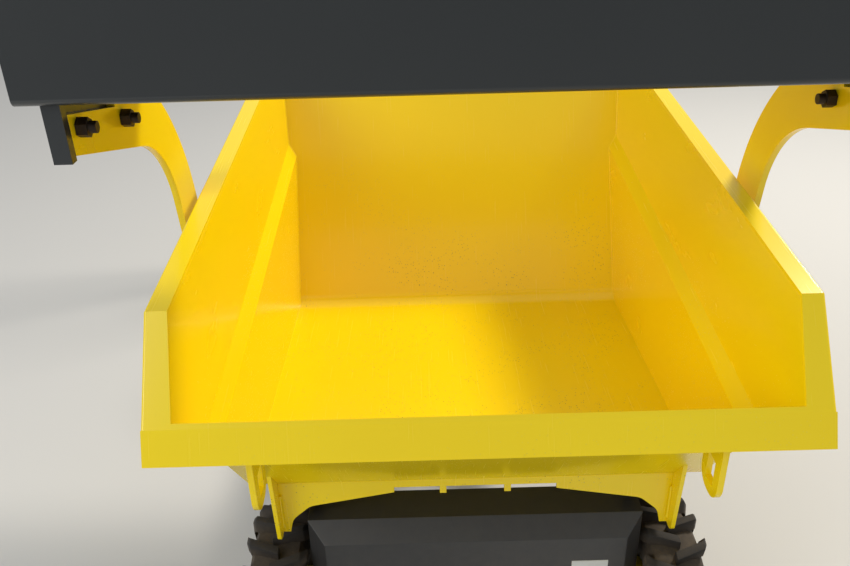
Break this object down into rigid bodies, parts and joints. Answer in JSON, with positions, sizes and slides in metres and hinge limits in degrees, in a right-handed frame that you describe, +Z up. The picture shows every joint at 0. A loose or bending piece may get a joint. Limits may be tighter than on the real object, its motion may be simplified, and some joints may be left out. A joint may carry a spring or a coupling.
{
  "type": "self-loading wheeled site dumper",
  "caption": "Compact articulated site dumper with a front-tipping skip, a raised loading shovel on gooseneck arms and a rear operator's seat under a roll-over hoop.",
  "frame": {"origin": "on the ground under the middle of the machine's length and width", "axes": "+X to the right as seen from the front, +Y towards the rear, -Y is the front with the skip's lip, +Z up"},
  "size_m": [1.156, 3.1, 2.26],
  "materials": {
    "yellow_paint": "gloss",
    "dark_paint": "satin",
    "steel": "satin",
    "chrome_rod": "polished",
    "cast_iron": "matte",
    "tyre_rubber": "matte",
    "rubber": "matte",
    "black_plastic": "matte",
    "seat_vinyl": "matte",
    "lamp_plastic": "gloss",
    "amber_plastic": "gloss"
  },
  "bodies": {
    "rear_frame": {"rear_rails": "dark_paint", "rear_cross_members": "dark_paint", "articulation_tongue": "dark_paint", "rear_axle": "cast_iron", "counterweight": "cast_iron", "hitch_pin": "steel", "fuel_tank": "black_plastic", "hydraulic_tank": "black_plastic", "deck": "dark_paint", "console": "yellow_paint", "steering_column": "dark_paint", "control_levers": "black_plastic", "seat_box": "dark_paint", "seat_cushion": "seat_vinyl", "seat_backrest": "seat_vinyl", "engine_block": "cast_iron", "engine_bay": "yellow_paint", "rops_hoop": "dark_paint", "lamps": "lamp_plastic", "beacon": "amber_plastic", "exhaust": "steel"},
    "front_frame": {"front_rails": "dark_paint", "front_cross_members": "dark_paint", "skip_buffers": "rubber", "articulation_fork": "dark_paint", "articulation_pin": "steel", "front_bumper": "dark_paint", "front_axle": "cast_iron"},
    "skip": {"skip_pan": "yellow_paint", "skip_rim": "yellow_paint", "skip_legs": "yellow_paint", "skip_arch_plate": "yellow_paint", "lashing_eyes": "yellow_paint", "tip_pins": "steel", "loader_brackets": "yellow_paint"},
    "loader": {"loader_arm_left": "yellow_paint", "loader_arm_right": "yellow_paint", "shovel": "dark_paint", "shovel_bolts": "cast_iron"},
    "tip_barrel": {"tip_barrel": "dark_paint"},
    "tip_rod": {"tip_rod": "chrome_rod"},
    "lift_left_barrel": {"lift_left_barrel": "dark_paint"},
    "lift_left_rod": {"lift_left_rod": "chrome_rod"},
    "lift_right_barrel": {"lift_right_barrel": "dark_paint"},
    "lift_right_rod": {"lift_right_rod": "chrome_rod"},
    "steer_barrel": {"steer_barrel": "dark_paint"},
    "steer_rod": {"steer_rod": "chrome_rod"},
    "hand_wheel": {"hand_wheel": "black_plastic"},
    "engine_hood": {"engine_hood": "yellow_paint"},
    "wheel_front_left": {"tyre_front_left": "tyre_rubber", "rim_front_left": "yellow_paint"},
    "wheel_front_right": {"tyre_front_right": "tyre_rubber", "rim_front_right": "yellow_paint"},
    "wheel_rear_left": {"tyre_rear_left": "tyre_rubber", "rim_rear_left": "yellow_paint"},
    "wheel_rear_right": {"tyre_rear_right": "tyre_rubber", "rim_rear_right": "yellow_paint"}
  },
  "joints": [
    {"name": "articulated_steering", "type": "hinge", "parent": "rear_frame", "child": "front_frame", "pos_m": [0, 0.06, 0.409], "axis": [0, 0, 1], "range_deg": [-30, 30]},
    {"name": "wheel_front_left_roll", "type": "hinge", "parent": "front_frame", "child": "wheel_front_left", "pos_m": [-0.4, -1.235, 0.235], "axis": [1, 0, 0], "continuous": true},
    {"name": "wheel_front_right_roll", "type": "hinge", "parent": "front_frame", "child": "wheel_front_right", "pos_m": [0.4, -1.235, 0.235], "axis": [1, 0, 0], "continuous": true},
    {"name": "wheel_rear_left_roll", "type": "hinge", "parent": "rear_frame", "child": "wheel_rear_left", "pos_m": [-0.4, 0.77, 0.235], "axis": [1, 0, 0], "continuous": true},
    {"name": "wheel_rear_right_roll", "type": "hinge", "parent": "rear_frame", "child": "wheel_rear_right", "pos_m": [0.4, 0.77, 0.235], "axis": [1, 0, 0], "continuous": true},
    {"name": "skip_tip", "type": "hinge", "parent": "front_frame", "child": "skip", "pos_m": [0, -1.225, 0.59], "axis": [1, 0, 0], "range_deg": [0, 62]},
    {"name": "tip_barrel_swing", "type": "hinge", "parent": "front_frame", "child": "tip_barrel", "pos_m": [0, -0.42, 0.33], "axis": [-1, 0, 0], "range_deg": [0, 15.5]},
    {"name": "tip_rod_slide", "type": "slide", "parent": "tip_barrel", "child": "tip_rod", "axis": [0, -0.9116, 0.4111], "range_m": [0, 0.262]},
    {"name": "loader_lift", "type": "hinge", "parent": "skip", "child": "loader", "pos_m": [0, -0.93, 0.584], "axis": [-1, 0, 0], "range_deg": [-90, 35]},
    {"name": "lift_left_barrel_swing", "type": "hinge", "parent": "skip", "child": "lift_left_barrel", "pos_m": [-0.483, -0.44, 0.8], "axis": [-1, 0, 0], "range_deg": [-2, 3]},
    {"name": "lift_left_rod_slide", "type": "slide", "parent": "lift_left_barrel", "child": "lift_left_rod", "axis": [0, -0.9585, -0.285], "range_m": [-0.05, 0.105]},
    {"name": "lift_right_barrel_swing", "type": "hinge", "parent": "skip", "child": "lift_right_barrel", "pos_m": [0.483, -0.44, 0.8], "axis": [-1, 0, 0], "range_deg": [-2, 3]},
    {"name": "lift_right_rod_slide", "type": "slide", "parent": "lift_right_barrel", "child": "lift_right_rod", "axis": [0, -0.9585, -0.285], "range_m": [-0.05, 0.105]},
    {"name": "steer_barrel_swing", "type": "hinge", "parent": "rear_frame", "child": "steer_barrel", "pos_m": [0.19, 0.42, 0.292], "axis": [0, 0, 1], "range_deg": [-6, 6]},
    {"name": "steer_rod_slide", "type": "slide", "parent": "steer_barrel", "child": "steer_rod", "axis": [-0.0454, -0.999, 0], "range_m": [-0.1, 0.1]},
    {"name": "hand_wheel_turn", "type": "hinge", "parent": "rear_frame", "child": "hand_wheel", "pos_m": [0, 0.33, 0.985], "axis": [0, 0.4226, 0.9063], "range_deg": [-362, 362]},
    {"name": "hood_lift", "type": "hinge", "parent": "rear_frame", "child": "engine_hood", "pos_m": [0, 1.482, 0.654], "axis": [-1, 0, 0], "range_deg": [0, 80]}
  ],
  "couplings": [
    {"joint": "tip_barrel_swing", "follows": "skip_tip", "ratio": 0.227},
    {"joint": "tip_rod_slide", "follows": "skip_tip", "m_per_rad": 0.2372},
    {"joint": "lift_left_barrel_swing", "follows": "loader_lift", "ratio": 0.02},
    {"joint": "lift_left_rod_slide", "follows": "loader_lift", "m_per_rad": -0.0585},
    {"joint": "lift_right_barrel_swing", "follows": "loader_lift", "ratio": 0.02},
    {"joint": "lift_right_rod_slide", "follows": "loader_lift", "m_per_rad": -0.0585},
    {"joint": "steer_barrel_swing", "follows": "articulated_steering", "ratio": 0.1447},
    {"joint": "steer_rod_slide", "follows": "articulated_steering", "m_per_rad": -0.1686},
    {"joint": "hand_wheel_turn", "follows": "articulated_steering", "ratio": 12}
  ]
}
